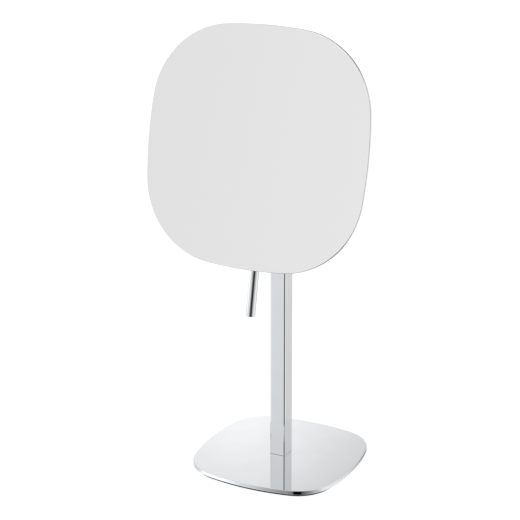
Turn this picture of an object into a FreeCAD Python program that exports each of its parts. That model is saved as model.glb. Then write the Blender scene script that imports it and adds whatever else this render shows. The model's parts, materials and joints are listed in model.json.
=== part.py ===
import FreeCAD, Part
import os
import re

import Sketcher

# Free-standing extendable shaving mirror, in millimetres.
# Frame: +Z up, the user stands on the -Y side, origin on the table under the middle of the base.
# Rest pose: post fully lowered, head facing -Y, mirror leaning back by rest_tilt.
# The head's pieces are drawn about the tilt pivot as if the mirror stood upright, and are then
# leaned back by their Placement.

Vector = FreeCAD.Vector
doc = FreeCAD.newDocument("shaving_mirror")

# ---------------------------------------------------------------- driving dimensions

DIMENSIONS = [
    ("base_side", 159, "base plate, side to side"),
    ("base_side_radius", 206, "bow of the base plate's four sides"),
    ("base_corner_radius", 41, "round of the base plate's four corners"),
    ("base_thickness", 4.1, "steel base plate"),
    ("base_edge_round", 0.5, "polished edge of the base plate"),
    ("pad_thickness", 3.4, "anti-slip pad under the base"),
    ("pad_inset", 4.1, "pad edge inside the base edge"),
    ("post_width", 17, "outer square tube"),
    ("post_wall", 1.5, "wall of both square tubes"),
    ("post_edge_round", 1.6, "outer tube edges"),
    ("post_foot_round", 0.4, "outer edge of the tube's foot"),
    ("post_top", 301.5, "top of the outer tube above the table"),
    ("inner_width", 11, "inner square tube"),
    ("inner_edge_round", 0.6, "inner tube edges"),
    ("slide_gap", 0.1, "clearance on each side of a sliding piece"),
    ("travel", 100, "how far the post extends"),
    ("stop_gap", 0.4, "clearance left at each end of the travel"),
    ("bush_length", 25, "guide bush inside the outer tube"),
    ("bush_flange", 2, "guide bush flange on top of the tube"),
    ("shoe_length", 30, "slider shoe below the inner tube"),
    ("shoe_spigot", 15, "part of the shoe inside the inner tube"),
    ("spring_width", 7, "friction leaf spring"),
    ("spring_strip", 0.4, "thickness of the leaf spring"),
    ("spring_bow_radius", 45, "bow of the leaf spring"),
    ("spring_length", 22, "length of the leaf spring"),
    ("spring_recess", 2.2, "depth of the pocket for the leaf spring"),
    ("spring_side_room", 0.5, "pocket beside the leaf spring"),
    ("spring_end_room", 1, "pocket beyond each end of the leaf spring"),
    ("roll_pin_radius", 1.5, "pins across the inner tube"),
    ("plug_length", 25, "foot plug inside the outer tube"),
    ("foot_screw_radius", 3, "M6 countersunk screw through the base"),
    ("foot_screw_head", 6, "its head radius"),
    ("foot_screw_length", 20, "its length"),
    ("foot_screw_key", 4, "its hexagon key"),
    ("foot_screw_key_depth", 2.5, "depth of its socket"),
    ("dowel_radius", 1.25, "dowels that keep the post from turning"),
    ("dowel_offset", 4.6, "each dowel from the post's axis, along X and along Y"),
    ("dowel_length", 6, "length of a dowel"),
    ("head_height", 14, "post head block"),
    ("head_spigot", 18, "part of the post head inside the inner tube"),
    ("washer_thickness", 1, "all plain washers"),
    ("bearing_gap", 0.1, "clearance beside a friction washer"),
    ("bolt_shoulder_radius", 3, "swivel bolt's bearing shoulder"),
    ("bolt_thread_radius", 2.5, "swivel bolt and tilt pin thread, M5"),
    ("bolt_thread_length", 11, "swivel bolt's thread in the post head"),
    ("bolt_hole_depth", 12, "threaded hole in the post head"),
    ("bolt_head_radius", 4.5, "heads of swivel bolt and tilt pin"),
    ("bolt_head_height", 2.6, "their height"),
    ("bolt_key", 3, "their hexagon key"),
    ("bolt_key_depth", 1.8, "depth of their sockets"),
    ("well_washer_radius", 5.1, "washers and disc springs that lie in a well"),
    ("disc_strip", 0.6, "thickness of a disc spring's steel"),
    ("disc_rise", 0.4, "height of a disc spring's cone"),
    ("fit_gap", 0.05, "radial clearance of a turning fit"),
    ("stop_pin_radius", 1, "swivel stop pin"),
    ("stop_pin_offset", 5.5, "stop pin from the swivel axis"),
    ("stop_pin_seat", 4, "part of the stop pin in the post head"),
    ("stop_pin_reach", 1.5, "part of the stop pin above its washer"),
    ("stop_slot_depth", 2, "depth of the stop slot in the arm"),
    ("stop_slot_room", 0.4, "slot beside and beyond the stop pin"),
    ("swivel_washer_radius", 7.7, "friction washer under the arm"),
    ("swivel_range", 75, "swivel each way, in degrees"),
    ("well_radius", 5.5, "well in the arm and in each ear for the fastener's head"),
    ("well_depth", 7, "depth of the well in the arm"),
    ("arm_height", 16, "swivel arm, and twice the round of its tongue"),
    ("tongue_width", 10, "tongue between the hub's ears"),
    ("pivot_y", -18.6, "tilt axis in front of the post"),
    ("pivot_z", 327, "tilt axis above the table"),
    ("rest_tilt", 11.6, "the mirror leans back by this angle at rest, in degrees"),
    ("mirror_depth", 38, "tilt axis behind the mirror's face"),
    ("mirror_side", 224, "mirror, side to side"),
    ("mirror_side_radius", 420, "bow of the mirror's four sides"),
    ("mirror_corner_radius", 78.7, "round of the mirror's four corners"),
    ("glass_thickness", 3, "mirror glass"),
    ("glass_edge_round", 0.4, "polished edge of the glass"),
    ("tape_thickness", 1, "adhesive sheet"),
    ("tape_inset", 16, "adhesive sheet edge inside the glass edge"),
    ("tape_window_radius", 24, "round window in the adhesive sheet over the screw heads"),
    ("plate_thickness", 2.5, "back plate"),
    ("plate_inset", 8, "back plate edge inside the glass edge"),
    ("plate_edge_round", 1.5, "rear edge of the back plate"),
    ("flange_radius", 24, "round foot of the hinge hub"),
    ("flange_thickness", 5, "its thickness"),
    ("flange_edge_round", 1.5, "its rear edge"),
    ("lug_width", 26, "hinge hub across both ears"),
    ("lug_radius", 9, "rounded end of the ears, half the hub's height"),
    ("lug_gap", 0.5, "between the tongue's round end and the hub's web"),
    ("hub_edge_round", 0.8, "outer edges of the ears"),
    ("ear_well_depth", 4, "well in the outside of each ear"),
    ("tilt_washer_radius", 7.5, "friction washers beside the tongue"),
    ("tilt_pin_end", 1, "tilt pin's end inside the ear's outer face"),
    ("tilt_nut_width", 8, "tilt nut across flats"),
    ("tilt_nut_thickness", 2, "tilt nut"),
    ("hub_screw_circle", 18, "hub screws from the middle of the plate"),
    ("hub_screw_radius", 2, "M4 countersunk hub screws"),
    ("hub_screw_head", 4, "their head radius"),
    ("hub_screw_length", 5.5, "their length"),
    ("hub_screw_key", 2.5, "their hexagon key"),
    ("hub_screw_key_depth", 1.4, "depth of their sockets"),
    ("cap_thickness", 1.2, "visible part of a chrome cap"),
    ("cap_radius", 6.5, "its radius"),
    ("cap_edge_round", 0.6, "its rounded edge"),
    ("cap_skirt_radius", 5.4, "its skirt, which snaps into a well"),
    ("cap_skirt_wall", 0.8, "wall of the skirt"),
    ("cap_skirt_depth", 0.6, "depth of the skirt"),
    ("rod_radius", 4.5, "handle rod"),
    ("rod_depth", 21.8, "handle rod's axis behind the mirror's face"),
    ("rod_end", 158.5, "rod's lower end below the mirror's middle"),
    ("rod_end_round", 0.5, "edge of the rod's lower end"),
    ("rod_spigot_radius", 3, "threaded end of the rod, M6"),
    ("rod_spigot_length", 12, "hole for it in the hub"),
    ("rod_spigot_room", 0.5, "hole beyond the spigot's end"),
    ("rod_washer_radius", 5.5, "washer between rod and hub"),
    ("set_screw_radius", 2, "M4 set screw that locks the rod"),
    ("set_screw_length", 8, "its length"),
    ("set_screw_key", 2, "its hexagon key and the depth of its socket"),
]

sheet = doc.addObject("Spreadsheet::Sheet", "dims")
for row, (alias, number, meaning) in enumerate(DIMENSIONS, start=1):
    sheet.set(f"A{row}", alias)
    sheet.set(f"B{row}", str(number))
    sheet.set(f"C{row}", meaning)
    sheet.setAlias(f"B{row}", alias)
doc.recompute()

ALIASES = {alias for alias, _, _ in DIMENSIONS}

# How a sketch's constraints name its axes, its origin and the points of a line or arc.
HORIZONTAL_AXIS = -1
VERTICAL_AXIS = -2
ORIGIN_POINT = (-1, 1)
START, END, CENTRE = 1, 2, 3

ZERO = 1e-9
NEAR = 1e-4


def formula(text):
    """The expression with every dimension's name written as a cell of the sheet."""
    return re.sub(r"[a-z]\w*", lambda word: f"dims.{word[0]}" if word[0] in ALIASES else word[0], text)


def value(text):
    """The number that an expression gives."""
    return float(sheet.evalExpression(formula(text)))


def bind(item, **expressions):
    """Bind properties of an object to expressions; a double underscore stands for a dot."""
    for name, text in expressions.items():
        item.setExpression(name.replace("__", "."), formula(text))


# ---------------------------------------------------------------- sketches

def new_body(label):
    return doc.addObject("PartDesign::Body", label)


def new_sketch(body, plane, name, offset="0"):
    """A sketch on one of the body's own origin planes, moved along the plane's normal."""
    support = next(item for item in body.Origin.OriginFeatures if item.Role == plane)
    sketch = body.newObject("Sketcher::SketchObject", f"{body.Name}_{name}")
    sketch.AttachmentSupport = [(support, "")]
    sketch.MapMode = "FlatFace"
    bind(sketch, AttachmentOffset__Base__z=offset)
    return sketch


def bind_constraint(sketch, constraint, text):
    index = sketch.addConstraint(constraint)
    sketch.setExpression(f"Constraints[{index}]", formula(text))


def pin_point(sketch, element, point, across, up):
    """Hold a point of a sketch at a place given by two expressions."""
    here = (element, point)
    for kind, axis, text in (("DistanceX", VERTICAL_AXIS, across), ("DistanceY", HORIZONTAL_AXIS, up)):
        distance = value(text)
        if abs(distance) < ZERO:
            sketch.addConstraint(Sketcher.Constraint("PointOnObject", *here, axis))
        elif distance > 0:
            bind_constraint(sketch, Sketcher.Constraint(kind, *ORIGIN_POINT, *here, distance), text)
        else:
            bind_constraint(sketch, Sketcher.Constraint(kind, *here, *ORIGIN_POINT, -distance), f"-({text})")


def draw_outline(sketch, points):
    """A closed outline of straight edges through points given as pairs of expressions."""
    corners = [Vector(value(across), value(up), 0) for across, up in points]
    following = corners[1:] + corners[:1]
    lines = [sketch.addGeometry(Part.LineSegment(a, b), False) for a, b in zip(corners, following)]
    for line, after in zip(lines, lines[1:] + lines[:1]):
        sketch.addConstraint(Sketcher.Constraint("Coincident", line, END, after, START))
    for line, (across, up) in zip(lines, points):
        pin_point(sketch, line, START, across, up)


def draw_rectangle(sketch, width, depth):
    """A rectangle centred on the sketch's origin."""
    half_width, half_depth = f"({width}) / 2", f"({depth}) / 2"
    draw_outline(sketch, [(f"-({half_width})", f"-({half_depth})"), (half_width, f"-({half_depth})"),
                          (half_width, half_depth), (f"-({half_width})", half_depth)])


def draw_circle(sketch, radius, across="0", up="0"):
    centre = Vector(value(across), value(up), 0)
    circle = sketch.addGeometry(Part.Circle(centre, Vector(0, 0, 1), value(radius)), False)
    pin_point(sketch, circle, CENTRE, across, up)
    bind_constraint(sketch, Sketcher.Constraint("Radius", circle, value(radius)), radius)


def draw_hexagon(sketch, across_flats):
    """A regular hexagon for a socket key, with two corners on the sketch's vertical axis."""
    half = f"{across_flats} / 2"
    corner = f"{across_flats} / sqrt(3)"
    draw_outline(sketch, [("0", f"-{corner}"), (half, f"-{corner} / 2"), (half, f"{corner} / 2"),
                          ("0", corner), (f"-{half}", f"{corner} / 2"), (f"-{half}", f"-{corner} / 2")])


def draw_bowed_square(sketch, side, side_radius, corner_radius):
    """Four bowed sides joined by four round corners, all tangent to each other."""
    bow, corner = value(side_radius), value(corner_radius)
    # The right side's centre lies bow_place to the left of the origin. The corner's centre lies on
    # the diagonal, bow - corner away from it.
    bow_place = f"({side_radius}) - ({side}) / 2"
    shift = value(bow_place)
    diagonal = (-shift + (2 * (bow - corner) ** 2 - shift ** 2) ** 0.5) / 2
    side_centre = Vector(-shift, 0, 0)
    corner_centre = Vector(diagonal, diagonal, 0)
    touch = side_centre + (corner_centre - side_centre).normalize() * bow
    side_arc = [Vector(touch.x, -touch.y, 0), side_centre + Vector(bow, 0, 0), touch]
    corner_arc = [touch, corner_centre + Vector(1, 1, 0).normalize() * corner, Vector(touch.y, touch.x, 0)]
    turn = FreeCAD.Rotation(Vector(0, 0, 1), 90)
    arcs = []
    for _ in range(4):
        for points in (side_arc, corner_arc):
            arcs.append(sketch.addGeometry(Part.Arc(*points), False))
        side_arc = [turn.multVec(point) for point in side_arc]
        corner_arc = [turn.multVec(point) for point in corner_arc]
    for arc, after in zip(arcs, arcs[1:] + arcs[:1]):
        sketch.addConstraint(Sketcher.Constraint("Tangent", arc, END, after, START))
    centres = [(f"-({bow_place})", "0"), ("0", f"-({bow_place})"), (bow_place, "0"), ("0", bow_place)]
    for arc, (across, up) in zip(arcs[::2], centres):
        pin_point(sketch, arc, CENTRE, across, up)
        bind_constraint(sketch, Sketcher.Constraint("Radius", arc, bow), side_radius)
    for arc in arcs[1::2]:
        bind_constraint(sketch, Sketcher.Constraint("Radius", arc, corner), corner_radius)


# ---------------------------------------------------------------- features

def pad(body, sketch, length, midplane=False, reversed_way=False):
    """Add material from a sketch, along the sketch's normal."""
    feature = body.newObject("PartDesign::Pad", f"{sketch.Name}_pad")
    feature.Profile = sketch
    feature.Midplane = midplane
    feature.Reversed = reversed_way
    bind(feature, Length=length)
    doc.recompute()
    return feature


def pocket(body, sketch, length, midplane=False, along_normal=False):
    """Cut material away; it cuts against the sketch's normal unless told otherwise."""
    before = body.Shape.Volume
    feature = body.newObject("PartDesign::Pocket", f"{sketch.Name}_pocket")
    feature.Profile = sketch
    feature.Midplane = midplane
    feature.Reversed = along_normal
    bind(feature, Length=length)
    doc.recompute()
    if body.Shape.Volume > before - ZERO:
        raise RuntimeError(f"{feature.Name} cuts nothing")
    return feature


def round_edges(body, radius, wanted):
    """Round the edges of the body's last feature that the wanted test picks out."""
    base = body.Tip
    names = [f"Edge{index}" for index, edge in enumerate(base.Shape.Edges, start=1) if wanted(edge)]
    if not names:
        raise RuntimeError(f"{body.Name}: no edge to round")
    feature = body.newObject("PartDesign::Fillet", f"{base.Name}_round")
    feature.Base = (base, names)
    bind(feature, Radius=radius)
    doc.recompute()
    return feature


def lies_at(axis, *places):
    """A test for edges that lie in a plane across an axis (0, 1, 2 for x, y, z) at one of the places."""
    def test(edge):
        box = edge.BoundBox
        low = (box.XMin, box.YMin, box.ZMin)[axis]
        high = (box.XMax, box.YMax, box.ZMax)[axis]
        return any(abs(low - place) < NEAR and abs(high - place) < NEAR for place in places)
    return test


def is_upright(edge):
    """A test for straight edges parallel to Z."""
    box = edge.BoundBox
    return box.ZLength > NEAR and max(box.XLength, box.YLength) < NEAR


def turned(label, axis, profile):
    """A body turned about its own X, Y or Z axis from (radius, place along the axis) pairs."""
    body = new_body(label)
    add_turned(body, axis, profile, "profile", "Revolution")
    return body


def add_turned(body, axis, profile, name, kind, across="0", up="0"):
    """Add (Revolution) or cut (Groove) a turned shape about an axis of the body.

    An axis along Y can be moved across (along X) and up (along Z).
    """
    plane = {"X": "XZ_Plane", "Y": "XY_Plane", "Z": "XZ_Plane"}[axis]
    points = [(along, radius) for radius, along in profile] if axis == "X" else profile
    sketch = new_sketch(body, plane, name, up)
    bind(sketch, AttachmentOffset__Base__x=across)
    draw_outline(sketch, points)
    doc.recompute()
    before = body.Shape.Volume if kind == "Groove" else 0
    feature = body.newObject(f"PartDesign::{kind}", f"{sketch.Name}_{kind.lower()}")
    feature.Profile = sketch
    feature.ReferenceAxis = (sketch, ["H_Axis" if axis == "X" else "V_Axis"])
    doc.recompute()
    if kind == "Groove" and body.Shape.Volume > before - ZERO:
        raise RuntimeError(f"{feature.Name} cuts nothing")
    return feature


def washer(label, axis, inner, outer, low, high):
    return turned(label, axis, [(inner, low), (outer, low), (outer, high), (inner, high)])


def stand_at(item, height):
    """Place a piece on the post's axis at a height."""
    bind(item, Placement__Base__z=height)


def place_in_head(item, across="0", back="0", up="0"):
    """Place a piece that is drawn upright in the leaning head, moved from the tilt pivot."""
    item.Placement = FreeCAD.Placement(Vector(0, 0, 0), FreeCAD.Rotation(Vector(1, 0, 0), -1))
    bind(item,
         Placement__Base__x=across,
         Placement__Base__y=f"pivot_y + ({back}) * cos(rest_tilt) + ({up}) * sin(rest_tilt)",
         Placement__Base__z=f"pivot_z - ({back}) * sin(rest_tilt) + ({up}) * cos(rest_tilt)",
         Placement__Rotation__Angle="-rest_tilt")


def grouped(label, members):
    """Identical pieces that share one node, as separate solids."""
    group = doc.addObject("Part::Compound", label)
    group.Links = members
    return group


def square_bar(label, width, height, edge_round=None):
    """A square bar standing on its body's XY plane."""
    body = new_body(label)
    sketch = new_sketch(body, "XY_Plane", "square")
    draw_rectangle(sketch, width, width)
    pad(body, sketch, height)
    if edge_round:
        round_edges(body, edge_round, is_upright)
    return body


def bore_square(body, width, height, start="0"):
    """A square hole upwards from a height in the body."""
    sketch = new_sketch(body, "XY_Plane", "square_hole", start)
    draw_rectangle(sketch, width, width)
    pocket(body, sketch, height, along_normal=True)


def bore_round(body, plane, name, radius, length, start="0", across="0", up="0", along_normal=True,
               midplane=False):
    """A round hole from a plane of the body."""
    sketch = new_sketch(body, plane, name, start)
    draw_circle(sketch, radius, across, up)
    pocket(body, sketch, length, midplane=midplane, along_normal=along_normal)


def key_socket(body, plane, across_flats, depth, start, along_normal):
    """A hexagon socket for a key."""
    sketch = new_sketch(body, plane, "socket", start)
    draw_hexagon(sketch, across_flats)
    pocket(body, sketch, depth, along_normal=along_normal)


# ---------------------------------------------------------------- places worked out from the sheet

# Heights above the table, and bores of the square tubes.
BASE_TOP = "pad_thickness + base_thickness"
TUBE_BORE = "post_width - 2 * post_wall"
INNER_BORE = "inner_width - 2 * post_wall"
HEAD_BOTTOM = "post_top + bush_flange + stop_gap"
HEAD_TOP = f"{HEAD_BOTTOM} + head_height"
SHOE_TOP = "post_top - bush_length - travel - stop_gap"
ARM_BOTTOM = "pivot_z - arm_height / 2"
DISC_HEIGHT = "disc_strip + disc_rise"
THRUST_WASHER_LOW = "pivot_z + arm_height / 2 - well_depth + bearing_gap"
BOLT_HEAD_LOW = f"{THRUST_WASHER_LOW} + washer_thickness + 2 * ({DISC_HEIGHT})"

# Depths in the head, counted forwards from the tilt axis, and widths, from its middle.
TAPE_FACE = "mirror_depth - glass_thickness"
PLATE_FACE = f"{TAPE_FACE} - tape_thickness"
HUB_FACE = f"{PLATE_FACE} - plate_thickness"
WEB_DEPTH = "arm_height / 2 + lug_gap"
HALF_LUG = "lug_width / 2"
EAR_FLOOR = "lug_width / 2 - ear_well_depth"
EAR_INNER = "tongue_width / 2 + bearing_gap + washer_thickness"
ROD_PLACE = "mirror_depth - rod_depth"
SET_SCREW_HEIGHT = "rod_spigot_length / 2 - lug_radius"
SCREW_REACH = "hub_screw_circle / sqrt(2)"
SCREW_PLACES = [(f"{right} * {SCREW_REACH}", f"{high} * {SCREW_REACH}")
                for right in (1, -1) for high in (1, -1)]
DOWEL_SIDES = ((1, "right_dowel"), (-1, "left_dowel"))

# ---------------------------------------------------------------- stand: base and outer post

def make_base_plate():
    body = new_body("base_plate")
    stand_at(body, "pad_thickness")
    sketch = new_sketch(body, "XY_Plane", "outline")
    draw_bowed_square(sketch, "base_side", "base_side_radius", "base_corner_radius")
    pad(body, sketch, "base_thickness")
    round_edges(body, "base_edge_round", lies_at(2, 0, value("base_thickness")))
    add_turned(body, "Z", [("0", "0"), ("foot_screw_head", "0"),
                           ("foot_screw_radius", "foot_screw_head - foot_screw_radius"),
                           ("foot_screw_radius", "base_thickness"), ("0", "base_thickness")],
               "countersink", "Groove")
    for side, name in DOWEL_SIDES:
        bore_round(body, "XY_Plane", name, "dowel_radius", "dowel_length / 2", "base_thickness",
                   across=f"{side} * dowel_offset", up=f"{side} * dowel_offset", along_normal=False)
    return body


def make_base_pad():
    body = new_body("base_pad")
    sketch = new_sketch(body, "XY_Plane", "outline")
    draw_bowed_square(sketch, "base_side - 2 * pad_inset", "base_side_radius - pad_inset",
                      "base_corner_radius - pad_inset")
    pad(body, sketch, "pad_thickness")
    return body


def make_post_screw():
    body = turned("post_screw", "Z", [
        ("0", "0"), ("foot_screw_head", "0"), ("foot_screw_radius", "foot_screw_head - foot_screw_radius"),
        ("foot_screw_radius", "foot_screw_length"), ("0", "foot_screw_length")])
    key_socket(body, "XY_Plane", "foot_screw_key", "foot_screw_key_depth", "0", along_normal=True)
    stand_at(body, "pad_thickness")
    return body


def make_foot_dowels():
    dowels = []
    for side, name in DOWEL_SIDES:
        dowel = turned(f"foot_{name}", "Z", [("0", "0"), ("dowel_radius", "0"),
                                             ("dowel_radius", "dowel_length"), ("0", "dowel_length")])
        stand_at(dowel, f"{BASE_TOP} - dowel_length / 2")
        bind(dowel, Placement__Base__x=f"{side} * dowel_offset", Placement__Base__y=f"{side} * dowel_offset")
        dowels.append(dowel)
    return grouped("foot_dowels", dowels)


def make_foot_plug():
    body = square_bar("foot_plug", TUBE_BORE, "plug_length")
    bore_round(body, "XY_Plane", "thread", "foot_screw_radius", "foot_screw_length")
    for side, name in DOWEL_SIDES:
        bore_round(body, "XY_Plane", name, "dowel_radius", "dowel_length / 2",
                   across=f"{side} * dowel_offset", up=f"{side} * dowel_offset")
    stand_at(body, BASE_TOP)
    return body


def make_outer_post():
    body = square_bar("outer_post", "post_width", f"post_top - ({BASE_TOP})", "post_edge_round")
    round_edges(body, "post_foot_round", lies_at(2, 0))
    bore_square(body, TUBE_BORE, "post_top")
    stand_at(body, BASE_TOP)
    return body


def make_guide_bush():
    body = square_bar("guide_bush", "post_width", "bush_flange", "post_edge_round")
    sleeve = new_sketch(body, "XY_Plane", "sleeve")
    draw_rectangle(sleeve, TUBE_BORE, TUBE_BORE)
    pad(body, sleeve, "bush_length", reversed_way=True)
    bore_square(body, "inner_width + 2 * slide_gap", "bush_length + bush_flange", "-bush_length")
    stand_at(body, "post_top")
    return body


# ---------------------------------------------------------------- slider: inner post and its head

def make_inner_post():
    body = square_bar("inner_post", "inner_width", f"({HEAD_BOTTOM}) - ({SHOE_TOP})", "inner_edge_round")
    bore_square(body, INNER_BORE, "post_top")
    for name, height in (("shoe_pin", "shoe_spigot / 2"),
                         ("head_pin", f"({HEAD_BOTTOM}) - ({SHOE_TOP}) - head_spigot / 2")):
        bore_round(body, "YZ_Plane", name, "roll_pin_radius", "post_width", up=height, midplane=True)
    stand_at(body, SHOE_TOP)
    return body


def make_slider_shoe():
    width = f"{TUBE_BORE} - 2 * slide_gap"
    body = square_bar("slider_shoe", width, "shoe_length")
    spigot = new_sketch(body, "XY_Plane", "spigot", "shoe_length")
    draw_rectangle(spigot, INNER_BORE, INNER_BORE)
    pad(body, spigot, "shoe_spigot")
    bore_round(body, "YZ_Plane", "pin", "roll_pin_radius", "post_width", up="shoe_length + shoe_spigot / 2",
               midplane=True)
    recess = new_sketch(body, "XZ_Plane", "recess", f"-({width}) / 2")
    side = "spring_width / 2 + spring_side_room"
    low = "(shoe_length - spring_length) / 2 - spring_end_room"
    high = "(shoe_length + spring_length) / 2 + spring_end_room"
    draw_outline(recess, [(f"-({side})", low), (side, low), (side, high), (f"-({side})", high)])
    pocket(body, recess, "spring_recess", along_normal=True)
    stand_at(body, f"{SHOE_TOP} - shoe_length")
    return body


def make_friction_spring():
    """A bowed strip: a slice of a large thin ring, its crown towards the back wall of the tube."""
    crown = f"({TUBE_BORE}) / 2 - fit_gap"
    rings = []
    for name, radius in (("spring_outside", "spring_bow_radius"),
                         ("spring_inside", "spring_bow_radius - spring_strip")):
        ring = doc.addObject("Part::Cylinder", name)
        bind(ring, Radius=radius, Height="spring_width",
             Placement__Base__x="-spring_width / 2",
             Placement__Base__y=f"{crown} - spring_bow_radius",
             Placement__Base__z=f"{SHOE_TOP} - shoe_length / 2")
        ring.Placement.Rotation = FreeCAD.Rotation(Vector(0, 1, 0), 90)
        rings.append(ring)
    strip = doc.addObject("Part::Cut", "spring_ring")
    strip.Base, strip.Tool = rings
    window = doc.addObject("Part::Box", "spring_window")
    bind(window, Length="post_width", Width="spring_recess", Height="spring_length",
         Placement__Base__x="-post_width / 2",
         Placement__Base__y=f"{crown} - spring_recess",
         Placement__Base__z=f"{SHOE_TOP} - (shoe_length + spring_length) / 2")
    spring = doc.addObject("Part::Common", "friction_spring")
    spring.Base, spring.Tool = strip, window
    return spring


def make_roll_pin(label, height):
    half = "inner_width / 2 - slide_gap"
    body = turned(label, "X", [("0", f"-({half})"), ("roll_pin_radius", f"-({half})"),
                               ("roll_pin_radius", half), ("0", half)])
    stand_at(body, height)
    return body


def make_post_head():
    body = square_bar("post_head", "post_width", "head_height", "post_edge_round")
    spigot = new_sketch(body, "XY_Plane", "spigot")
    draw_rectangle(spigot, INNER_BORE, INNER_BORE)
    pad(body, spigot, "head_spigot", reversed_way=True)
    bore_round(body, "YZ_Plane", "pin", "roll_pin_radius", "post_width", up="-head_spigot / 2", midplane=True)
    bore_round(body, "XY_Plane", "thread", "bolt_thread_radius", "bolt_hole_depth", "head_height",
               along_normal=False)
    bore_round(body, "XY_Plane", "stop_pin", "stop_pin_radius", "stop_pin_seat", "head_height",
               up="stop_pin_offset", along_normal=False)
    stand_at(body, HEAD_BOTTOM)
    return body


def make_stop_pin():
    top = "washer_thickness + stop_pin_reach"
    body = turned("stop_pin", "Z", [("0", "-stop_pin_seat"), ("stop_pin_radius", "-stop_pin_seat"),
                                    ("stop_pin_radius", top), ("0", top)])
    bind(body, Placement__Base__y="stop_pin_offset")
    stand_at(body, HEAD_TOP)
    return body


def make_swivel_washer():
    body = washer("swivel_washer", "Z", "bolt_shoulder_radius", "swivel_washer_radius",
                  "0", "washer_thickness")
    bore_round(body, "XY_Plane", "stop_pin", "stop_pin_radius", "washer_thickness", up="stop_pin_offset")
    stand_at(body, HEAD_TOP)
    return body


def make_swivel_bolt():
    """A shoulder bolt: thread in the post head, shoulder through washer and arm, head in the well."""
    seat = f"({HEAD_TOP}) - ({BOLT_HEAD_LOW})"
    end = f"{seat} - bolt_thread_length"
    body = turned("swivel_bolt", "Z", [
        ("0", end), ("bolt_thread_radius", end), ("bolt_thread_radius", seat),
        ("bolt_shoulder_radius", seat), ("bolt_shoulder_radius", "0"), ("bolt_head_radius", "0"),
        ("bolt_head_radius", "bolt_head_height"), ("0", "bolt_head_height")])
    key_socket(body, "XY_Plane", "bolt_key", "bolt_key_depth", "bolt_head_height", along_normal=False)
    stand_at(body, BOLT_HEAD_LOW)
    return body


def make_thrust_washer():
    body = washer("thrust_washer", "Z", "bolt_shoulder_radius", "well_washer_radius",
                  "0", "washer_thickness")
    stand_at(body, THRUST_WASHER_LOW)
    return body


def disc_spring(label, axis, inner, low, flip=False):
    """A cone-shaped spring washer that starts at a place along its axis; flip turns it over."""
    near, far = ("disc_rise", "0") if flip else ("0", "disc_rise")
    return turned(label, axis, [(inner, f"{low} + {near}"), ("well_washer_radius", f"{low} + {far}"),
                                ("well_washer_radius", f"{low} + {far} + disc_strip"),
                                (inner, f"{low} + {near} + disc_strip")])


def make_swivel_springs():
    pair = [disc_spring("lower_swivel_spring", "Z", "bolt_shoulder_radius", "0"),
            disc_spring("upper_swivel_spring", "Z", "bolt_shoulder_radius", DISC_HEIGHT, flip=True)]
    for spring in pair:
        stand_at(spring, f"{THRUST_WASHER_LOW} + washer_thickness")
    return grouped("swivel_springs", pair)


# ---------------------------------------------------------------- arm: turns on the swivel bolt

def make_swivel_arm():
    """A square block over the post with a tongue that reaches forward to the tilt axis."""
    body = square_bar("swivel_arm", "post_width", "arm_height", "post_edge_round")
    round_edges(body, "post_edge_round / 2", lies_at(2, value("arm_height")))
    tongue = new_sketch(body, "YZ_Plane", "tongue")
    draw_outline(tongue, [("pivot_y", "0"), ("0", "0"), ("0", "arm_height"), ("pivot_y", "arm_height")])
    pad(body, tongue, "tongue_width", midplane=True)
    nose = new_sketch(body, "YZ_Plane", "nose")
    draw_circle(nose, "arm_height / 2", "pivot_y", "arm_height / 2")
    pad(body, nose, "tongue_width", midplane=True)
    bore_round(body, "YZ_Plane", "pin", "bolt_thread_radius + fit_gap", "post_width", across="pivot_y",
               up="arm_height / 2", midplane=True)
    bore_round(body, "XY_Plane", "shoulder", "bolt_shoulder_radius + fit_gap", "arm_height")
    bore_round(body, "XY_Plane", "well", "well_radius", "well_depth", "arm_height", along_normal=False)
    cut_stop_slot(body)
    stand_at(body, ARM_BOTTOM)
    return body


def cut_stop_slot(body):
    """A slot round the swivel axis in the arm's underside that the stop pin runs in."""
    near = "stop_pin_offset - stop_pin_radius - stop_slot_room"
    far = "stop_pin_offset + stop_pin_radius + stop_slot_room"
    slot = new_sketch(body, "YZ_Plane", "stop_slot")
    draw_outline(slot, [(near, "0"), (far, "0"), (far, "stop_slot_depth"), (near, "stop_slot_depth")])
    doc.recompute()
    before = body.Shape.Volume
    groove = body.newObject("PartDesign::Groove", "swivel_arm_stop_slot_groove")
    groove.Profile = slot
    groove.ReferenceAxis = (slot, ["V_Axis"])
    groove.Midplane = True
    beyond = "asin((stop_pin_radius + stop_slot_room) / stop_pin_offset)"
    bind(groove, Angle=f"2 * (swivel_range * 1 deg + {beyond})")
    doc.recompute()
    if body.Shape.Volume > before - ZERO:
        raise RuntimeError("the stop slot cuts nothing")


def cap_profile():
    """A low cap with a rounded rim and a skirt that snaps into a well, seated at height 0."""
    inside = "cap_skirt_radius - cap_skirt_wall"
    return [("0", "0"), (inside, "0"), (inside, "-cap_skirt_depth"),
            ("cap_skirt_radius", "-cap_skirt_depth"), ("cap_skirt_radius", "0"), ("cap_radius", "0"),
            ("cap_radius", "cap_thickness"), ("0", "cap_thickness")]


def make_arm_cap():
    body = turned("arm_cap", "Z", cap_profile())
    round_edges(body, "cap_edge_round", lies_at(2, value("cap_thickness")))
    stand_at(body, "pivot_z + arm_height / 2")
    return body


# ---------------------------------------------------------------- head: hub, mirror and handle

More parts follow.
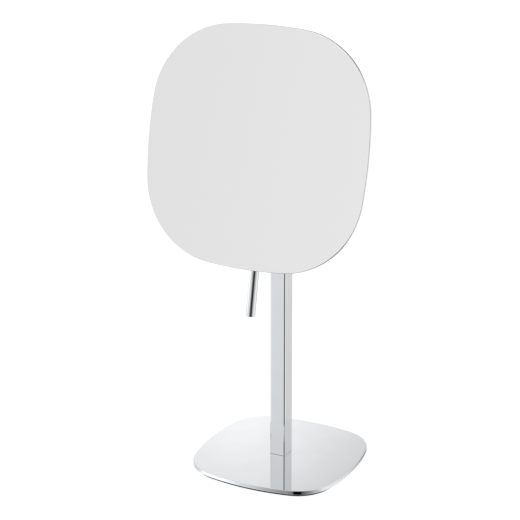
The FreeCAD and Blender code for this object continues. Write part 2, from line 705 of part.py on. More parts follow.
def make_hinge_hub():
    body = new_body("hinge_hub")
    flange = new_sketch(body, "XZ_Plane", "flange", HUB_FACE)
    draw_circle(flange, "flange_radius")
    pad(body, flange, "flange_thickness", reversed_way=True)
    round_edges(body, "flange_edge_round", lies_at(1, value(f"flange_thickness - ({HUB_FACE})")))
    lug = new_sketch(body, "YZ_Plane", "lug")
    root = f"-({HUB_FACE} - flange_thickness / 2)"
    draw_outline(lug, [(root, "-lug_radius"), ("0", "-lug_radius"), ("0", "lug_radius"),
                       (root, "lug_radius")])
    pad(body, lug, "lug_width", midplane=True)
    nose = new_sketch(body, "YZ_Plane", "nose")
    draw_circle(nose, "lug_radius")
    pad(body, nose, "lug_width", midplane=True)
    half = value(HALF_LUG)
    round_edges(body, "hub_edge_round", lies_at(0, half, -half))
    slot = new_sketch(body, "YZ_Plane", "slot")
    reach = "2 * lug_radius"
    draw_outline(slot, [(f"-({WEB_DEPTH})", f"-({reach})"), (reach, f"-({reach})"), (reach, reach),
                        (f"-({WEB_DEPTH})", reach)])
    pocket(body, slot, f"2 * ({EAR_INNER})", midplane=True)
    bore_round(body, "YZ_Plane", "pin", "bolt_thread_radius", "lug_width", midplane=True)
    bore_round(body, "YZ_Plane", "right_well", "well_radius", "ear_well_depth", EAR_FLOOR)
    bore_round(body, "YZ_Plane", "left_well", "well_radius", "ear_well_depth", f"-({EAR_FLOOR})",
               along_normal=False)
    bore_round(body, "XY_Plane", "rod_thread", "rod_spigot_radius", "rod_spigot_length", "-lug_radius",
               up=f"-({ROD_PLACE})")
    bore_round(body, "YZ_Plane", "set_screw", "set_screw_radius", HALF_LUG, across=f"-({ROD_PLACE})",
               up=SET_SCREW_HEIGHT)
    for index, (across, up) in enumerate(SCREW_PLACES):
        bore_round(body, "XZ_Plane", f"screw_{index}", "hub_screw_radius",
                   "hub_screw_length - plate_thickness", HUB_FACE, across=across, up=up, along_normal=False)
    place_in_head(body)
    return body


def screw_profile(low):
    """Countersunk M4 screw that points backwards from its head's flat face."""
    cone = "hub_screw_head - hub_screw_radius"
    return [("0", low), ("hub_screw_head", low), ("hub_screw_radius", f"{low} + {cone}"),
            ("hub_screw_radius", f"{low} + hub_screw_length"), ("0", f"{low} + hub_screw_length")]


def make_hub_screws():
    screws = []
    for index, (across, up) in enumerate(SCREW_PLACES):
        screw = turned(f"hub_screw_{index}", "Y", screw_profile(f"-({PLATE_FACE})"))
        key_socket(screw, "XZ_Plane", "hub_screw_key", "hub_screw_key_depth", PLATE_FACE,
                   along_normal=False)
        place_in_head(screw, across, up=up)
        screws.append(screw)
    return grouped("hub_screws", screws)


def bowed_sheet(label, inset, front, thickness):
    """A sheet with the mirror's outline moved inwards, its front a given depth before the pivot."""
    body = new_body(label)
    sketch = new_sketch(body, "XZ_Plane", "outline", front)
    draw_bowed_square(sketch, f"mirror_side - 2 * ({inset})", f"mirror_side_radius - ({inset})",
                      f"mirror_corner_radius - ({inset})")
    pad(body, sketch, thickness, reversed_way=True)
    place_in_head(body)
    return body


def make_mirror_glass():
    body = bowed_sheet("mirror_glass", "0", "mirror_depth", "glass_thickness")
    front = -value("mirror_depth")
    rear = front + value("glass_thickness")
    round_edges(body, "glass_edge_round", lies_at(1, front, rear))
    return body


def make_adhesive_sheet():
    body = bowed_sheet("adhesive_sheet", "tape_inset", TAPE_FACE, "tape_thickness")
    bore_round(body, "XZ_Plane", "window", "tape_window_radius", "tape_thickness", PLATE_FACE)
    return body


def make_back_plate():
    body = bowed_sheet("back_plate", "plate_inset", PLATE_FACE, "plate_thickness")
    round_edges(body, "plate_edge_round", lies_at(1, -value(HUB_FACE)))
    front, rear = f"-({PLATE_FACE})", f"-({HUB_FACE})"
    seat = f"{front} + hub_screw_head - hub_screw_radius"
    for index, (across, up) in enumerate(SCREW_PLACES):
        add_turned(body, "Y", [("0", front), ("hub_screw_head", front), ("hub_screw_radius", seat),
                               ("hub_screw_radius", rear), ("0", rear)],
                   f"countersink_{index}", "Groove", across, up)
    return body


def make_tilt_pin():
    """A screw along the tilt axis, its head in the right ear's well."""
    end = f"-({HALF_LUG} - tilt_pin_end)"
    top = f"{EAR_FLOOR} + bolt_head_height"
    body = turned("tilt_pin", "X", [
        ("0", end), ("bolt_thread_radius", end), ("bolt_thread_radius", EAR_FLOOR),
        ("bolt_head_radius", EAR_FLOOR), ("bolt_head_radius", top), ("0", top)])
    key_socket(body, "YZ_Plane", "bolt_key", "bolt_key_depth", top, along_normal=False)
    place_in_head(body)
    return body


def make_tilt_nut():
    body = new_body("tilt_nut")
    seat = f"-({EAR_FLOOR} + {DISC_HEIGHT})"
    sketch = new_sketch(body, "YZ_Plane", "hexagon", seat)
    draw_hexagon(sketch, "tilt_nut_width")
    pad(body, sketch, "tilt_nut_thickness", reversed_way=True)
    bore_round(body, "YZ_Plane", "thread", "bolt_thread_radius", "tilt_nut_thickness", seat,
               along_normal=False)
    place_in_head(body)
    return body


def make_tilt_spring():
    body = disc_spring("tilt_spring", "X", "bolt_thread_radius", f"-({EAR_FLOOR} + {DISC_HEIGHT})")
    place_in_head(body)
    return body


def make_tilt_washers():
    pair = []
    for name, low, high in (("right_tilt_washer", "tongue_width / 2 + bearing_gap", EAR_INNER),
                            ("left_tilt_washer", f"-({EAR_INNER})", "-(tongue_width / 2 + bearing_gap)")):
        disc = washer(name, "X", "bolt_thread_radius", "tilt_washer_radius", low, high)
        place_in_head(disc)
        pair.append(disc)
    return grouped("tilt_washers", pair)


def make_hub_caps():
    caps = []
    for name, side in (("right_hub_cap", 1), ("left_hub_cap", -1)):
        profile = [(radius, f"{side} * ({HALF_LUG} + {along})") for radius, along in cap_profile()]
        cap = turned(name, "X", profile)
        face = side * value(f"{HALF_LUG} + cap_thickness")
        round_edges(cap, "cap_edge_round", lies_at(0, face))
        place_in_head(cap)
        caps.append(cap)
    return grouped("hub_caps", caps)


def make_handle_rod():
    """A round bar hanging parallel to the mirror, screwed into the underside of the hub."""
    shoulder = "-(lug_radius + washer_thickness)"
    top = "rod_spigot_length - lug_radius - rod_spigot_room"
    body = turned("handle_rod", "Z", [
        ("0", "-rod_end"), ("rod_radius", "-rod_end"), ("rod_radius", shoulder),
        ("rod_spigot_radius", shoulder), ("rod_spigot_radius", top), ("0", top)])
    round_edges(body, "rod_end_round", lies_at(2, -value("rod_end")))
    place_in_head(body, back=f"-({ROD_PLACE})")
    return body


def make_rod_washer():
    body = washer("rod_washer", "Z", "rod_spigot_radius", "rod_washer_radius",
                  "-(lug_radius + washer_thickness)", "-lug_radius")
    place_in_head(body, back=f"-({ROD_PLACE})")
    return body


def make_set_screw():
    outer_end = "rod_spigot_radius + set_screw_length"
    body = turned("rod_set_screw", "X", [
        ("0", "rod_spigot_radius"), ("set_screw_radius", "rod_spigot_radius"),
        ("set_screw_radius", outer_end), ("0", outer_end)])
    key_socket(body, "YZ_Plane", "set_screw_key", "set_screw_key", outer_end, along_normal=False)
    place_in_head(body, back=f"-({ROD_PLACE})", up=SET_SCREW_HEIGHT)
    return body


# ---------------------------------------------------------------- build, check and write

def build_all():
    return [
        make_base_plate(), make_base_pad(), make_post_screw(), make_foot_dowels(), make_foot_plug(),
        make_outer_post(), make_guide_bush(),
        make_inner_post(), make_slider_shoe(), make_friction_spring(),
        make_roll_pin("shoe_pin", f"{SHOE_TOP} + shoe_spigot / 2"),
        make_roll_pin("head_pin", f"{HEAD_BOTTOM} - head_spigot / 2"),
        make_post_head(), make_stop_pin(), make_swivel_washer(), make_swivel_bolt(),
        make_thrust_washer(), make_swivel_springs(),
        make_swivel_arm(), make_arm_cap(),
        make_hinge_hub(), make_hub_screws(), make_mirror_glass(), make_adhesive_sheet(), make_back_plate(),
        make_tilt_pin(), make_tilt_nut(), make_tilt_spring(), make_tilt_washers(), make_hub_caps(),
        make_handle_rod(), make_rod_washer(), make_set_screw(),
    ]


pieces = build_all()
doc.recompute()
failed = [item.Name for item in doc.Objects if "Invalid" in item.State or "Error" in item.State]
if failed:
    raise RuntimeError(f"failed objects: {failed}")
os.makedirs("parts", exist_ok=True)
for piece in pieces:
    if piece.Shape.isNull() or not piece.Shape.isValid():
        raise RuntimeError(f"{piece.Label} has no valid shape")
    piece.Shape.exportStep(f"parts/{piece.Label}.step")
    print(f"{piece.Label}: {len(piece.Shape.Solids)} solid(s), {piece.Shape.Volume / 1000:.2f} cm3")
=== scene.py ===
"""Finishes, studio and camera for the free-standing shaving mirror.

The CAD nodes keep their own shapes. Each gets a procedural material with the detail of its real surface.
The mirror stands on a pale light table in a soft white studio, seen from the front right, a little above.
All lengths are metres in the CAD frame: +Z up, -Y towards the user, the base centred on the origin.
"""

import json
import math

import bpy
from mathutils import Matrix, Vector


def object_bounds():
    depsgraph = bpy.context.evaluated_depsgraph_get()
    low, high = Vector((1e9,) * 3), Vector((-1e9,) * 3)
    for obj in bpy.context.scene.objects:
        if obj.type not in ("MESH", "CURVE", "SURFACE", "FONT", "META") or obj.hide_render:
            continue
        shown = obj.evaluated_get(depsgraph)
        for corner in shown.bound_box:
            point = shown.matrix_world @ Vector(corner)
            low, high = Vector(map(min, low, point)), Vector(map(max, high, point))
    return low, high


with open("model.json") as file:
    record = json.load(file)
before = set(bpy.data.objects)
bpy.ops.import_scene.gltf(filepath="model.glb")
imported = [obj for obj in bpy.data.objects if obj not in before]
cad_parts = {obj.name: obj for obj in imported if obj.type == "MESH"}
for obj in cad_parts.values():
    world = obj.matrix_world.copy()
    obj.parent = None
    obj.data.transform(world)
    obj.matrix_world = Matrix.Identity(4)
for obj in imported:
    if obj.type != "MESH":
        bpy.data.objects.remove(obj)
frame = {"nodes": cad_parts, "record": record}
cad_low, cad_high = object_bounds()
HEIGHT = cad_high.z

# The camera turns round the object's upright middle line, and aims at a point a little beside that line.
CAMERA_AZIMUTH = math.radians(26.27)
CAMERA_ELEVATION = math.radians(18.21)
CAMERA_DISTANCE = 1.4544
CAMERA_LENS_MM = 104.0
CAMERA_SHIFT_X = -0.02308
CAMERA_NEAREST = 0.1
AIM_HEIGHT = 0.4753 * HEIGHT
AIM_TO_THE_RIGHT = -0.00902


# --- node helpers ------------------------------------------------------------------------------------------

# Most of a noise texture's values lie between these.
NOISE_SPREAD = (0.3, 0.7)


class Nodes:
    """A node tree with short calls to add nodes and join their sockets."""

    def __init__(self, tree):
        self.tree = tree
        self.tree.nodes.clear()

    def add(self, kind, inputs=None, **settings):
        """A node with those settings and inputs, each input given by name or number."""
        node = self.tree.nodes.new(kind)
        for name, setting in settings.items():
            setattr(node, name, setting)
        for name, given in (inputs or {}).items():
            self.feed(node.inputs[name], given)
        return node

    def feed(self, socket, given):
        """Joins a socket to another node's output, or sets its plain value."""
        if isinstance(given, bpy.types.NodeSocket):
            self.tree.links.new(given, socket)
        else:
            socket.default_value = given

    def math(self, operation, *given):
        """A sum, product or other operation on numbers."""
        node = self.add("ShaderNodeMath", operation=operation)
        for socket, number in zip(node.inputs, given):
            self.feed(socket, number)
        return node.outputs[0]

    def vector(self, operation, first, second):
        """An operation on two vectors."""
        node = self.add("ShaderNodeVectorMath", operation=operation)
        self.feed(node.inputs[0], first)
        self.feed(node.inputs[1], second)
        return node.outputs["Value" if operation == "DOT_PRODUCT" else "Vector"]

    def ramp(self, given, low, high, to_low, to_high, smooth=False):
        """given, from low to high, becomes to_low to to_high."""
        kind = "SMOOTHSTEP" if smooth else "LINEAR"
        node = self.add("ShaderNodeMapRange", interpolation_type=kind, clamp=True)
        for socket, number in zip(node.inputs, (given, low, high, to_low, to_high)):
            self.feed(socket, number)
        return node.outputs[0]

    def vary(self, noise, low, high):
        """A noise texture's usual spread becomes low to high."""
        return self.ramp(noise, *NOISE_SPREAD, low, high)

    def blend(self, factor, first, second):
        """A colour between two others."""
        node = self.add("ShaderNodeMix", data_type="RGBA")
        self.feed(node.inputs["Factor"], factor)
        self.feed(node.inputs[6], first)
        self.feed(node.inputs[7], second)
        return node.outputs[2]

    def mix(self, factor, first, second):
        """A shader that is the first where the factor is 0, and the second where it is 1."""
        return self.add("ShaderNodeMixShader", {0: factor, 1: first.outputs[0], 2: second.outputs[0]})

    def place(self):
        """The point's place on the object at rest, in metres."""
        return self.add("ShaderNodeTexCoord").outputs["Object"]

    def grain(self, per_metre, detail=2.0, stretch=(1, 1, 1)):
        """Noise with that many features in a metre, drawn out along an axis whose stretch is below 1."""
        where = self.vector("MULTIPLY", self.place(), stretch)
        inputs = {"Vector": where, "Scale": per_metre, "Detail": detail}
        return self.add("ShaderNodeTexNoise", inputs).outputs["Fac"]

    def bump(self, height, depth, under=None):
        """A bumped normal: height from 0 to 1 stands for depth metres."""
        inputs = {"Height": height, "Strength": 1.0, "Distance": depth}
        if under is not None:
            inputs["Normal"] = under
        return self.add("ShaderNodeBump", inputs).outputs["Normal"]


def new_material(name):
    """An empty node material and its nodes."""
    material = bpy.data.materials.new(name)
    material.use_nodes = True
    return material, Nodes(material.node_tree)


def surface(nodes, shader):
    """Makes the shader the surface of its material."""
    nodes.add("ShaderNodeOutputMaterial", {"Surface": shader.outputs[0]})


def grey(level, blue=0.0):
    """A neutral colour, a little bluer if asked."""
    return (level - blue, level, level + blue, 1.0)


# --- finishes ----------------------------------------------------------------------------------------------


def chrome():
    """Mirror-polished chrome plate: faint waviness from buffing and a trace of wiping marks."""
    material, nodes = new_material("chrome")
    waves = nodes.grain(28, detail=1.0)
    wiping = nodes.grain(260, detail=3.0, stretch=(0.25, 0.25, 1.0))
    haze = nodes.grain(45)
    haze_rough = nodes.ramp(haze, 0.35, 0.75, 0.012, 0.035)
    wiping_rough = nodes.ramp(wiping, 0.4, 0.8, 0.0, 0.02)
    shader = nodes.add(
        "ShaderNodeBsdfPrincipled",
        {
            "Base Color": nodes.blend(nodes.vary(haze, 0.0, 1.0), grey(0.635, 0.008), grey(0.655, 0.012)),
            "Metallic": 1.0,
            "Roughness": nodes.math("ADD", haze_rough, wiping_rough),
            "Normal": nodes.bump(waves, 0.000012, nodes.bump(wiping, 0.0000004)),
        },
    )
    surface(nodes, shader)
    return material


def facing(nodes, direction):
    """How squarely the surface faces a direction of the object at rest: 1 is squarely, -1 is away from it."""
    normal = nodes.add("ShaderNodeTexCoord").outputs["Normal"]
    return nodes.vector("DOT_PRODUCT", normal, tuple(direction))


def glass_face(nodes):
    """The silver seen through the front of the glass, with faint smudges and dust."""
    dust = nodes.grain(900, detail=4.0)
    smudge = nodes.grain(22, detail=3.0)
    smudge_rough = nodes.ramp(smudge, 0.4, 0.8, 0.004, 0.012)
    dust_rough = nodes.ramp(dust, 0.62, 0.8, 0.0, 0.02)
    return nodes.add(
        "ShaderNodeBsdfPrincipled",
        {
            "Base Color": nodes.blend(smudge, grey(0.880), grey(0.888, 0.001)),
            "Metallic": 1.0,
            "Roughness": nodes.math("ADD", smudge_rough, dust_rough),
        },
    )


def glass_edge(nodes):
    """The ground edge, with painted light and shade: lighter where it faces the sides, darker round the
    corners and along the top and bottom.
    """
    grinding = nodes.grain(2600)
    # Painted light and shade: the lighter colour where the edge faces the sides, the darker one round the
    # corners and along the top and bottom.
    clear = nodes.blend(grinding, (0.70, 0.72, 0.71, 1), (0.80, 0.82, 0.81, 1))
    shaded_edge_colour = nodes.blend(grinding, grey(0.06), grey(0.11))
    sideways = nodes.math("ABSOLUTE", facing(nodes, (1, 0, 0)))
    painted_light_share = nodes.ramp(sideways, 0.72, 0.95, 0.0, 1.0, smooth=True)
    return nodes.add(
        "ShaderNodeBsdfPrincipled",
        {
            "Base Color": nodes.blend(painted_light_share, shaded_edge_colour, clear),
            "Roughness": nodes.vary(grinding, 0.12, 0.28),
            "IOR": 1.52,
            "Normal": nodes.bump(grinding, 0.00001),
        },
    )


def glass_backing(nodes):
    """Grey backing paint with the stipple of the roller."""
    roller = nodes.grain(700, detail=3.0, stretch=(0.2, 1.0, 1.0))
    return nodes.add(
        "ShaderNodeBsdfPrincipled",
        {
            "Base Color": nodes.blend(roller, (0.20, 0.22, 0.24, 1), (0.26, 0.28, 0.30, 1)),
            "Roughness": nodes.vary(roller, 0.45, 0.6),
            "Normal": nodes.bump(roller, 0.00002),
        },
    )


def silvered_glass():
    """Float glass silvered on its back: a mirror in front, a ground edge, and backing paint behind."""
    material, nodes = new_material("silvered_glass")
    glass = frame["nodes"]["mirror_glass"].data
    front_faces = [face for face in glass.polygons if face.normal.y < 0]
    forward = max(front_faces, key=lambda face: face.area).normal
    squarely = facing(nodes, forward)
    in_front = nodes.ramp(squarely, 0.90, 0.97, 0.0, 1.0)
    behind = nodes.ramp(squarely, -0.97, -0.90, 1.0, 0.0)
    face_or_edge = nodes.mix(in_front, glass_edge(nodes), glass_face(nodes))
    surface(nodes, nodes.mix(behind, face_or_edge, glass_backing(nodes)))
    return material


def satin_aluminium():
    """Anodised aluminium sheet with fine brushing from side to side."""
    material, nodes = new_material("satin_aluminium")
    brushing = nodes.grain(5200, detail=3.0, stretch=(0.006, 1.0, 1.0))
    cloud = nodes.grain(30)
    shader = nodes.add(
        "ShaderNodeBsdfPrincipled",
        {
            "Base Color": nodes.blend(brushing, grey(0.60, 0.006), grey(0.72, 0.006)),
            "Metallic": 1.0,
            "Roughness": nodes.math("ADD", nodes.vary(brushing, 0.26, 0.36), nodes.vary(cloud, 0.0, 0.05)),
            "Normal": nodes.bump(brushing, 0.000008),
        },
    )
    surface(nodes, shader)
    return material


def stainless_steel():
    """Machined stainless steel with fine tool marks."""
    material, nodes = new_material("stainless_steel")
    marks = nodes.grain(3500, detail=3.0, stretch=(1.0, 0.3, 0.3))
    shader = nodes.add(
        "ShaderNodeBsdfPrincipled",
        {
            "Base Color": nodes.blend(marks, (0.48, 0.48, 0.47, 1), (0.60, 0.60, 0.59, 1)),
            "Metallic": 1.0,
            "Roughness": nodes.vary(marks, 0.18, 0.34),
            "Normal": nodes.bump(marks, 0.000012),
        },
    )
    surface(nodes, shader)
    return material


def black_rubber():
    """Fine-textured black rubber with a little pale dust in its grain."""
    material, nodes = new_material("black_rubber")
    pebble = nodes.grain(2200, detail=4.0)
    dust = nodes.grain(160, detail=3.0)
    shader = nodes.add(
        "ShaderNodeBsdfPrincipled",
        {
            "Base Color": nodes.blend(nodes.ramp(dust, 0.45, 0.8, 0.0, 1.0), grey(0.020), grey(0.050)),
            "Roughness": nodes.vary(pebble, 0.62, 0.82),
            "Normal": nodes.bump(pebble, 0.00006),
        },
    )
    surface(nodes, shader)
    return material


def black_polymer():
    """Moulded acetal: low sheen over a fine spark-eroded texture."""
    material, nodes = new_material("black_polymer")
    texture = nodes.grain(3000, detail=3.0)
    shade = nodes.grain(120)
    shader = nodes.add(
        "ShaderNodeBsdfPrincipled",
        {
            "Base Color": nodes.blend(shade, grey(0.030, 0.001), grey(0.045, 0.001)),
            "Roughness": nodes.vary(texture, 0.34, 0.48),
            "Normal": nodes.bump(texture, 0.00002),
        },
    )
    surface(nodes, shader)
    return material


def foam_tape():
    """Closed-cell foam: pale, matt, and pitted by its cells."""
    material, nodes = new_material("foam_tape")
    voronoi = nodes.add("ShaderNodeTexVoronoi", {"Vector": nodes.place(), "Scale": 2500.0})
    cells = voronoi.outputs["Distance"]
    tone = nodes.grain(300, detail=3.0)
    shader = nodes.add(
        "ShaderNodeBsdfPrincipled",
        {
            "Base Color": nodes.blend(tone, (0.66, 0.66, 0.64, 1), (0.76, 0.76, 0.74, 1)),
            "Roughness": nodes.ramp(cells, 0.0, 0.6, 0.80, 0.95),
            "Normal": nodes.bump(cells, 0.0001),
        },
    )
    surface(nodes, shader)
    return material


FINISHES = {
    "chrome": chrome,
    "silvered_glass": silvered_glass,
    "satin_aluminium": satin_aluminium,
    "stainless_steel": stainless_steel,
    "black_rubber": black_rubber,
    "black_polymer": black_polymer,
    "foam_tape": foam_tape,
}


def give_finishes():
    """Every CAD node gets the material of its slot in the record."""
    made = {slot: make() for slot, make in FINISHES.items()}
    for part in frame["record"]["subparts"]:
        mesh = frame["nodes"][part["node"]].data
        mesh.materials.clear()
        mesh.materials.append(made[part["material_slot"]])


# --- studio ------------------------------------------------------------------------------------------------

FLOOR_RADIUS = 200.0
FLOOR_STEPS = 96
FLOOR_GLOW = 0.95

# What polished surfaces see below the horizon, where the floor hides from them. Each row is a bearing in
# degrees from the front, growing towards +X, then how bright the studio is there, and how blue. No row is
# brighter than LOW_PEAK.
LOW_PEAK = 2.0
LOW_LIGHT = [
    (-180, 0.45, 0.0),
    (-150, 0.95, 0.0),
    (-108, 0.9, 0.0),
    (-84, 1.21, 0.0),
    (-66, 1.1, 0.02),
    (-35, 1.186, 0.03),
    (-26.6, 1.1, 0.03),
    (-23.3, 0.985, 0.03),
    (-12, 0.66, 0.01),
    (-3.7, 0.447, 0.0),
    (12.5, 0.28, 0.0),
    (15.5, 0.0, 0.0),
    (34, 0.0, 0.0),
    (39, 0.12, 0.0),
    (47, 0.25, 0.0),
    (58.7, 0.405, 0.0),
    (87.5, 0.955, 0.0),
    (104, 1.35, 0.0),
    (138, 1.27, 0.0),
    (150, 1.075, 0.0),
    (161, 0.81, 0.0),
    (172, 0.45, 0.0),
]

# Far below the horizon that light dims a little: by what share, and between which heights in degrees.
LOW_DIMMING = 0.06
LOW_DIM_HEIGHTS = (-24.5, -19.5)

# The light below the horizon turns into the walls' light between these heights, in degrees.
HORIZON_HEIGHTS = (-16, -3)

# The walls grow from WALL_GLOW to the brightness of a band that goes round them, and the ceiling above it is
# between the two. Heights are in degrees above the horizon.
WALL_GLOW = 0.872
BAND_GLOW = 1.44
CEILING_GLOW = 1.144
BAND_BEGINS = (14, 24)
BAND_ENDS = (24, 29)

# The dark gap in the walls where the camera stands: its middle, between which distances from there it fades
# out, how much of the light is left in it, and between which heights it fades out.
GAP_BEARING = 32
GAP_FADE = (9, 45)
GAP_GLOW = 0.5
GAP_TOP = (5, 20)

# A faint ripple in the walls' light: how many waves go round them, the bearing where one starts, and how far
# the light goes up and down.
RIPPLE_WAVES = 6.4
RIPPLE_BEARING = -26.5
RIPPLE_DEPTH = 0.05

# Soft patches on the walls: bearing, height above the horizon, inner and outer radius, all in degrees, and
# what the light inside is multiplied by.
WALL_PATCHES = [
    (-172, 34, 10, 22, 0.6),
    (150, 27, 5, 20, 0.88),
    (-140, 30, 5, 14, 0.8),
    (-153, 25.3, 0, 5, 1.1),
    (-26, 25.5, 2, 12, 1.08),
    (31, 26, 8, 17, 0.1),
    (-57, -27, 9, 27, 1.5),
]

# Cards that only polished surfaces see, low enough to stay out of the mirror at the camera's angle: name,
# brightness, distance, first and last bearing, how many degrees fade into the walls at each end, lowest and
# highest place, and how much of the height fades into the walls at top and bottom.
CARDS = [
    ("far_reflector", 1.5, 1.5, -40, -12, 12, 0.15, 0.278, 0.05),
    ("near_reflector", 1.5, 0.3, -118, -34, 12, 0.12, 0.222, 0.012),
    ("near_flag", 0.04, 0.3, -16, 67, 34, 0.12, 0.24, 0.012),
]
CARD_STEPS = 24

# Softboxes: name, place, side and watts.
SOFTBOXES = [
    ("overhead_softbox", (0.3, -0.4, 2.4), 1.8, 3),
    ("left_softbox", (-1.8, -1.0, 1.2), 1.2, 2),
]


def towards(bearing_angle, rise):
    """The direction at that bearing round the object and that height above the horizon."""
    level = math.cos(rise)
    return Vector((math.sin(bearing_angle) * level, -math.cos(bearing_angle) * level, math.sin(rise)))


def add_stage_mesh(name, points, faces):
    """A piece of the studio, which isn't part of the object."""
    mesh = bpy.data.meshes.new(name)
    mesh.from_pydata(points, [], faces)
    sheet = bpy.data.objects.new(name, mesh)
    bpy.context.scene.collection.objects.link(sheet)
    return sheet


def around_object(radius, height, start, end, steps):
    """Points on a level circle round the object, between two bearings in degrees."""
    bearings = [math.radians(start + (end - start) * i / steps) for i in range(steps + 1)]
    return [(radius * math.sin(b), -radius * math.cos(b), height) for b in bearings]


def strip_between(name, first, second):
    """A sheet between two rows of points."""
    count = len(first)
    faces = [(i, i + 1, count + i + 1, count + i) for i in range(count - 1)]
    return add_stage_mesh(name, first + second, faces)


def seen_only_in_polish(sheet):
    """Only polished surfaces see the sheet, and it casts no shadow."""
    sheet.visible_camera = False
    sheet.visible_diffuse = False
    sheet.visible_shadow = False
    sheet.visible_transmission = False


def bearing(nodes, direction):
    """Degrees round the object from the front, growing towards +X, and the direction's three parts."""
    parts = nodes.add("ShaderNodeSeparateXYZ", {0: direction}).outputs
    forward = nodes.math("MULTIPLY", parts[1], -1.0)
    return nodes.math("DEGREES", nodes.math("ARCTAN2", parts[0], forward)), parts


def make_floor():
    """A pale light table: matt white acrylic that glows a little by itself."""
    rim = around_object(FLOOR_RADIUS, 0.0, 0, 360, FLOOR_STEPS)[:-1]
    floor = add_stage_mesh("floor", rim, [range(len(rim))])
    material, nodes = new_material("floor_acrylic")
    mottle = nodes.grain(6, detail=3.0)
    shader = nodes.add(
        "ShaderNodeBsdfPrincipled",
        {
            "Base Color": nodes.blend(mottle, grey(0.11), grey(0.13)),
            "Roughness": nodes.vary(mottle, 0.6, 0.7),
            "Specular IOR Level": 0.1,
            "Emission Color": grey(1.0),
            "Emission Strength": FLOOR_GLOW,
        },
    )
    surface(nodes, shader)
    floor.data.materials.append(material)
    floor.visible_glossy = False


def fade_in(nodes, place, low, high, depth):
    """0 at both ends of a stretch and 1 further inside than the depth."""
    inward = nodes.math("MINIMUM", nodes.math("SUBTRACT", place, low), nodes.math("SUBTRACT", high, place))
    return nodes.ramp(inward, 0.0, depth, 0.0, 1.0, smooth=True)


def stand_card(name, glow, distance, start, end, end_fade, low, high, fade):
    """An upright sheet bent round the object, whose brightness fades into the walls' at its edges."""
    bottom = around_object(distance, low, start, end, CARD_STEPS)
    top = around_object(distance, high, start, end, CARD_STEPS)
    card = strip_between(name, bottom, top)
    material, nodes = new_material(name)
    turn, parts = bearing(nodes, nodes.place())
    across = fade_in(nodes, turn, start, end, end_fade)
    upwards = fade_in(nodes, parts[2], low, high, fade)
    strength = nodes.ramp(nodes.math("MULTIPLY", across, upwards), 0.0, 1.0, WALL_GLOW, glow)
    surface(nodes, nodes.add("ShaderNodeEmission", {"Strength": strength}))
    card.data.materials.append(material)
    seen_only_in_polish(card)


def wall_light(nodes, turn, above):
    """How bright the walls are at a bearing and a height above the horizon."""
    band = nodes.ramp(above, *BAND_BEGINS, WALL_GLOW, BAND_GLOW, smooth=True)
    drop = nodes.ramp(above, *BAND_ENDS, 0.0, BAND_GLOW - CEILING_GLOW)
    walls = nodes.math("SUBTRACT", band, drop)
    from_gap = nodes.math("ABSOLUTE", nodes.math("SUBTRACT", turn, GAP_BEARING))
    beside_gap = nodes.ramp(from_gap, *GAP_FADE, GAP_GLOW, 1.0, smooth=True)
    over_gap = nodes.ramp(above, *GAP_TOP, 0.0, 1.0, smooth=True)
    gap = nodes.math("MAXIMUM", beside_gap, over_gap)
    phase = nodes.math("MULTIPLY", nodes.math("SUBTRACT", turn, RIPPLE_BEARING), RIPPLE_WAVES)
    wave = nodes.math("SINE", nodes.math("RADIANS", phase))
    ripple = nodes.ramp(wave, -1.0, 1.0, 1.0 - RIPPLE_DEPTH, 1.0 + RIPPLE_DEPTH)
    return nodes.math("MULTIPLY", nodes.math("MULTIPLY", walls, gap), ripple)


def low_light(nodes, turn):
    """The light below the horizon at a bearing, as a share of LOW_PEAK."""
    grades = nodes.add("ShaderNodeValToRGB", {"Fac": nodes.ramp(turn, -180, 180, 0.0, 1.0)})
    stops = grades.color_ramp.elements
    while len(stops) < len(LOW_LIGHT):
        stops.new(0.5)
    for stop, (degrees, level, blueness) in zip(stops, LOW_LIGHT):
        stop.position = (degrees + 180) / 360
        stop.color = grey(level / LOW_PEAK, blueness / LOW_PEAK)
    return grades.outputs["Color"]


def patch_light(nodes, direction):
    """What the patches multiply the light in a direction by."""
    share = 1.0
    for patch_bearing, rise, inner, outer, level in WALL_PATCHES:
        middle = towards(math.radians(patch_bearing), math.radians(rise))
        cosine = nodes.vector("DOT_PRODUCT", direction, tuple(middle))
        away = nodes.math("DEGREES", nodes.math("ARCCOSINE", cosine))
        share = nodes.math("MULTIPLY", share, nodes.ramp(away, inner, outer, level, 1.0, smooth=True))
    return share


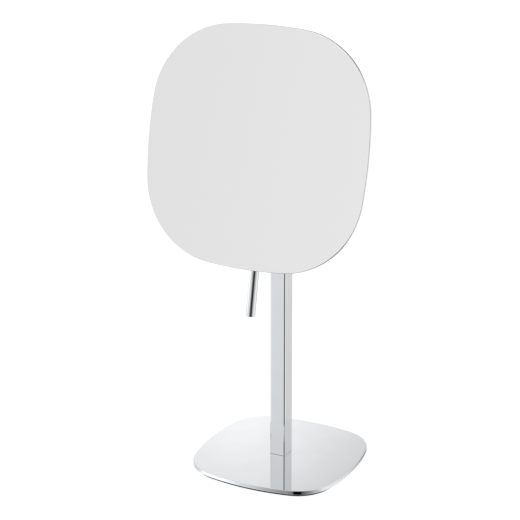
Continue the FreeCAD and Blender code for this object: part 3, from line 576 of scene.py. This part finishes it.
def make_surroundings():
    """White studio walls with a dark gap where the camera stands, and a graded light below the horizon."""
    world = bpy.data.worlds.new("studio")
    world.use_nodes = True
    bpy.context.scene.world = world
    nodes = Nodes(world.node_tree)
    direction = nodes.add("ShaderNodeTexCoord").outputs["Generated"]
    turn, parts = bearing(nodes, direction)
    above = nodes.math("DEGREES", nodes.math("ARCSINE", parts[2]))
    patches = patch_light(nodes, direction)
    wall_strength = nodes.math("MULTIPLY", wall_light(nodes, turn, above), patches)
    walls = nodes.add("ShaderNodeBackground", {"Color": grey(1.0), "Strength": wall_strength})
    dimming = nodes.ramp(above, *LOW_DIM_HEIGHTS, (1.0 - LOW_DIMMING) * LOW_PEAK, LOW_PEAK)
    low_strength = nodes.math("MULTIPLY", dimming, patches)
    low = nodes.add("ShaderNodeBackground", {"Color": low_light(nodes, turn), "Strength": low_strength})
    whole = nodes.mix(nodes.ramp(above, *HORIZON_HEIGHTS, 0.0, 1.0, smooth=True), low, walls)
    nodes.add("ShaderNodeOutputWorld", {"Surface": whole.outputs[0]})


def add_softbox(name, place, side, watts):
    """A square area light aimed at the middle of the object."""
    lamp = bpy.data.lights.new(name, "AREA")
    lamp.shape = "SQUARE"
    lamp.size = side
    lamp.energy = watts
    softbox = bpy.data.objects.new(name, lamp)
    softbox.location = place
    aim = Vector((0, 0, HEIGHT / 2)) - softbox.location
    softbox.rotation_euler = aim.to_track_quat("-Z", "Y").to_euler()
    softbox.visible_glossy = False
    bpy.context.scene.collection.objects.link(softbox)


def make_camera():
    """The camera at the photo's angle, with its frame's middle moved a little sideways."""
    back = towards(CAMERA_AZIMUTH, CAMERA_ELEVATION)
    right = Vector((math.cos(CAMERA_AZIMUTH), math.sin(CAMERA_AZIMUTH), 0))
    data = bpy.data.cameras.new("camera")
    data.lens = CAMERA_LENS_MM
    data.shift_x = CAMERA_SHIFT_X
    data.clip_start = CAMERA_NEAREST
    data.clip_end = 2 * FLOOR_RADIUS
    camera = bpy.data.objects.new("camera", data)
    camera.location = Vector((0, 0, AIM_HEIGHT)) + right * AIM_TO_THE_RIGHT + back * CAMERA_DISTANCE
    camera.rotation_euler = (-back).to_track_quat("-Z", "Y").to_euler()
    bpy.context.scene.collection.objects.link(camera)
    bpy.context.scene.camera = camera


give_finishes()
make_floor()
for card in CARDS:
    stand_card(*card)
make_surroundings()
for softbox in SOFTBOXES:
    add_softbox(*softbox)
make_camera()
bpy.context.scene.view_settings.view_transform = "Standard"
